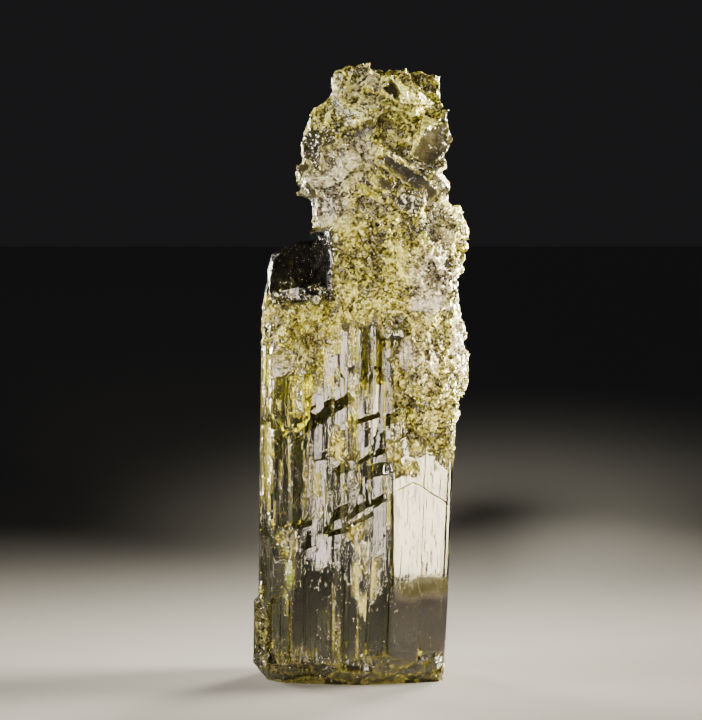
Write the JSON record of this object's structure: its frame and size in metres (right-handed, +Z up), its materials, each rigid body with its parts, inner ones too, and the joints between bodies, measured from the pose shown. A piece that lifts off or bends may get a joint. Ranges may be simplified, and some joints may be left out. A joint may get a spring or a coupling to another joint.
{
  "type": "epidote crystal",
  "caption": "Tall flattened prismatic crystal with lengthwise striations and ledges, a sloping shoulder and a narrower, etched and lumpy head, standing upright on its broken flat base.",
  "frame": {"origin": "below the middle of the crystal's box, on the surface that it stands on", "axes": "+Z up along the striations, -Y out of the broad front face, +X to the right of somebody who looks at that face"},
  "size_m": [0.0198, 0.0112, 0.056],
  "materials": {
    "epidote": "glassy on the long faces, frosted on the etched neck and head"
  },
  "bodies": {
    "root": {"epidote_crystal": "epidote"}
  },
  "joints": []
}
